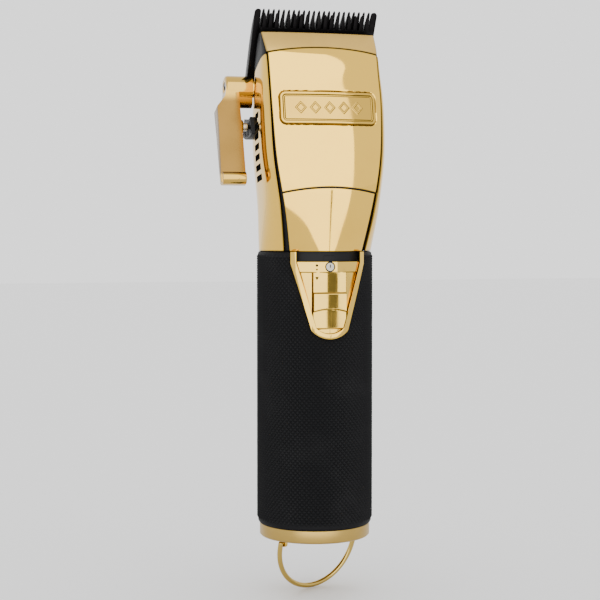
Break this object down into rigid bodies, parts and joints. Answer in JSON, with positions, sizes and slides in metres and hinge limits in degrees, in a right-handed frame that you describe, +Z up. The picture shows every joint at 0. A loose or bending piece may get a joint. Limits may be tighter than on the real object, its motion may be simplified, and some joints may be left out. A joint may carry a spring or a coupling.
{
  "type": "hair clipper",
  "caption": "Cordless hair clipper: round knurled grip with a front power slider, gold metal head, steel comb blades, side taper lever and a hanging bail on its base.",
  "frame": {"origin": "centre of the end cap's flat underside, at the mouth of the charging socket", "axes": "+Z up along the grip towards the teeth, -Y to the front with the power slider, +X to the side away from the taper lever"},
  "size_m": [0.0574, 0.0431, 0.206],
  "materials": {
    "satin_gold_cap": "satin metallic gold coat",
    "dark_screw": "blackened steel",
    "black_plastic": "moulded",
    "gold_bright": "polished gold plating",
    "gold_wire": "drawn wire, gold plated",
    "seal_rubber": "moulded ring",
    "grip_rubber": "fine diamond knurl",
    "cell_wrap": "shrink wrap",
    "nickel": "nickel strip",
    "board_green": "solder mask",
    "lens_white": "clear moulding",
    "gold_slider": "satin gold plating",
    "motor_zinc": "drawn steel can",
    "motor_magnet": "sintered ring",
    "bearing_bronze": "sintered bronze",
    "rotor_steel": "laminated steel",
    "lead_red": "insulated wire",
    "gold_polished": "polished gold plating",
    "gold_badge": "polished gold plating, raised lozenges",
    "gold_satin": "satin gold coat",
    "blade_black": "black coated, ground bevel",
    "carriage_white": "moulded acetal",
    "gold_lever": "polished bronze gold plating"
  },
  "bodies": {
    "body": {"end_cap": "satin_gold_cap", "cap_screws": "dark_screw", "charge_socket": "black_plastic", "bail_lugs": "gold_bright", "base_seal": "seal_rubber", "grip_sleeve": "grip_rubber", "grip_core": "black_plastic", "battery_cell": "cell_wrap", "battery_plates": "black_plastic", "battery_tabs": "nickel", "circuit_board": "board_green", "slide_switch": "nickel", "status_led": "lens_white", "switch_bezel": "gold_bright", "motor_can": "motor_zinc", "motor_stator": "motor_magnet", "motor_bearings": "bearing_bronze", "motor_bracket": "black_plastic", "bracket_screws": "dark_screw", "motor_leads": "lead_red", "rear_housing": "gold_polished", "neck_plate": "gold_polished", "front_plate": "gold_polished", "name_plate": "gold_badge", "housing_screws": "dark_screw", "nose_band": "gold_satin", "cheeks": "black_plastic", "heel_plate": "black_plastic", "blade_bed": "black_plastic", "fixed_blade": "blade_black", "blade_screws": "dark_screw", "lever_bushing": "gold_bright", "detent_plate": "black_plastic", "lever_washer": "rotor_steel"},
    "slider": {"power_slider": "gold_slider", "status_lens": "lens_white"},
    "bail": {"hanging_bail": "gold_wire"},
    "rotor": {"motor_rotor": "rotor_steel", "eccentric": "black_plastic"},
    "lever": {"taper_lever": "gold_lever", "lever_shaft": "rotor_steel", "lever_screw": "dark_screw"},
    "plunger": {"detent_plunger": "nickel"},
    "carriage": {"taper_carriage": "carriage_white", "tension_spring": "rotor_steel"},
    "cutter": {"moving_blade": "blade_black", "cutter_follower": "black_plastic"}
  },
  "joints": [
    {"name": "power_slide", "type": "slide", "parent": "body", "child": "slider", "axis": [0, 0, 1], "range_m": [0, 0.003]},
    {"name": "bail_swing", "type": "hinge", "parent": "body", "child": "bail", "pos_m": [0.0012, -0.0004, -0.0017], "axis": [0.9225, 0.3859, 0], "range_deg": [-103, 77]},
    {"name": "rotor_spin", "type": "hinge", "parent": "body", "child": "rotor", "pos_m": [0, 0, 0.12], "axis": [0, 0, 1], "continuous": true},
    {"name": "lever_swing", "type": "hinge", "parent": "body", "child": "lever", "pos_m": [-0.022, 0.005, 0.1584], "axis": [1, 0, 0], "range_deg": [0, 36]},
    {"name": "plunger_press", "type": "slide", "parent": "lever", "child": "plunger", "axis": [-1, 0, 0], "range_m": [0, 0.0005], "stiffness_N_per_m": 400},
    {"name": "taper_shift", "type": "slide", "parent": "body", "child": "carriage", "axis": [0, 0.515, -0.8572], "range_m": [0, 0.0015]},
    {"name": "cutter_stroke", "type": "slide", "parent": "carriage", "child": "cutter", "axis": [1, 0, 0], "range_m": [-0.0011, 0.0011]}
  ],
  "couplings": [
    {"joint": "taper_shift", "follows": "lever_swing", "m_per_rad": 0.0023607}
  ]
}
